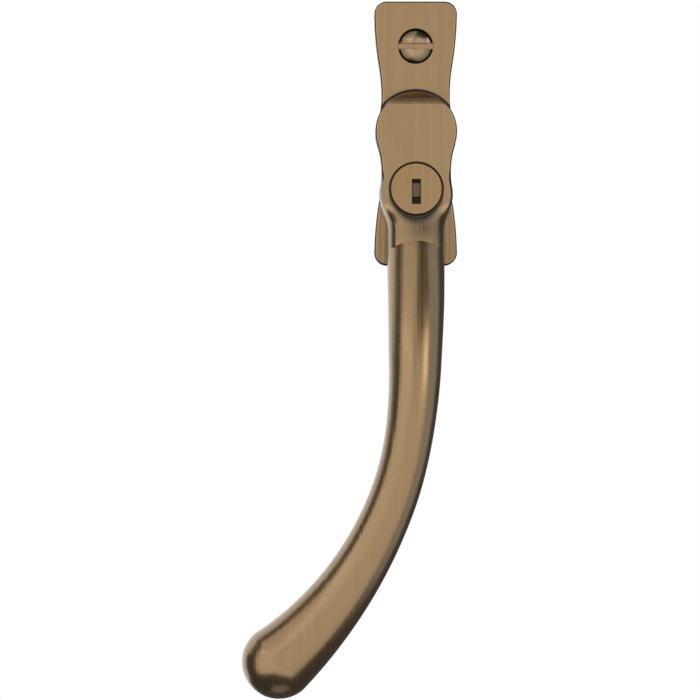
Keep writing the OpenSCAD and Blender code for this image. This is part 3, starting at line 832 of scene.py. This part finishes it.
def floor():
    """A plain pale floor, low enough to stay out of the front view."""
    size, below = 0.5, 0.9
    z = cad_bounds[0].z - below
    corners = [(x * size / 2, y * size / 2, z) for x, y in ((-1, -1), (1, -1), (1, 1), (-1, 1))]
    mesh = bpy.data.meshes.new("floor")
    mesh.from_pydata(corners, [], [(0, 1, 2, 3)])
    obj = bpy.data.objects.new("floor", mesh)
    bpy.context.scene.collection.objects.link(obj)
    n = Nodes("pale_floor")
    grain = n.noise(n.place(), (60.0, 60.0, 60.0), 4.0, 0.6)
    n.link(n.blend(grain, (0.66, 0.66, 0.65), (0.70, 0.70, 0.69)), n.shader.inputs["Base Color"])
    n.shader.inputs["Roughness"].default_value = 0.7
    mesh.materials.append(n.material)


def panel(name, azimuth, elevation, wide, tall, radiance, colour=(1, 1, 1)):
    """A soft light aimed at the handle, in degrees: azimuth 0 is in front and 90 is to the right."""
    aim, distance = Vector((-0.016, 0, -0.05)), 1.5
    a, e = math.radians(azimuth), math.radians(elevation)
    towards = Vector((math.sin(a) * math.cos(e), -math.cos(a) * math.cos(e), math.sin(e)))
    light = bpy.data.lights.new(name, "AREA")
    light.shape = "RECTANGLE"
    light.size = 2 * distance * math.tan(math.radians(wide / 2))
    light.size_y = 2 * distance * math.tan(math.radians(tall / 2))
    light.energy = radiance * math.pi * light.size * light.size_y
    light.color = colour
    obj = bpy.data.objects.new(name, light)
    obj.location = aim + towards * distance
    obj.rotation_euler = (-towards).to_track_quat("-Z", "Y").to_euler()
    obj.visible_camera = False
    bpy.context.scene.collection.objects.link(obj)


def studio():
    panel("front_right_panel", 29, -6, 74, 72, 0.96)
    panel("front_left_panel", -41, -1, 66, 66, 1.10)
    panel("upper_left_panel", -38, 50, 56, 44, 0.9)
    panel("upper_front_panel", 7, 32, 24, 12, 0.5)
    panel("upper_right_lamp", 48, 22, 17, 13, 2.2)
    panel("right_panel", 90, 15, 42, 96, 0.60, (0.80, 0.93, 1.15))
    panel("rear_left_panel", -146, 12, 52, 78, 1.0, (0.95, 1.0, 1.06))
    panel("upper_rear_left_panel", -113, 22, 16, 24, 0.8, (0.95, 1.0, 1.06))
    panel("top_panel", 0, 90, 36, 36, 0.25)
    world = bpy.data.worlds.new("studio")
    bpy.context.scene.world = world
    world.use_nodes = True
    nodes, links = world.node_tree.nodes, world.node_tree.links
    nodes.clear()
    # White to the camera, and dim to everything that the surroundings light.
    seen, lit = nodes.new("ShaderNodeBackground"), nodes.new("ShaderNodeBackground")
    choose, path = nodes.new("ShaderNodeMixShader"), nodes.new("ShaderNodeLightPath")
    out = nodes.new("ShaderNodeOutputWorld")
    seen.inputs["Color"].default_value = (1, 1, 1, 1)
    lit.inputs["Color"].default_value = (0.10, 0.10, 0.105, 1)
    links.new(path.outputs["Is Camera Ray"], choose.inputs["Fac"])
    links.new(lit.outputs["Background"], choose.inputs[1])
    links.new(seen.outputs["Background"], choose.inputs[2])
    links.new(choose.outputs["Shader"], out.inputs["Surface"])
    bpy.context.scene.view_settings.view_transform = "Standard"


def camera():
    """Straight at the front, from a metre off the plate's face, as wide as 172 mm there."""
    distance, width = 1.0, 0.1724
    middle_x, middle_z = -0.01617, -0.05337
    data = bpy.data.cameras.new("camera")
    data.sensor_width = 36.0
    data.lens = data.sensor_width * distance / width
    obj = bpy.data.objects.new("camera", data)
    obj.location = (middle_x, PLATE_FRONT_Y * MM - distance, middle_z)
    obj.rotation_euler = (math.pi / 2, 0, 0)
    bpy.context.scene.collection.objects.link(obj)
    bpy.context.scene.camera = obj


floor()
studio()
camera()
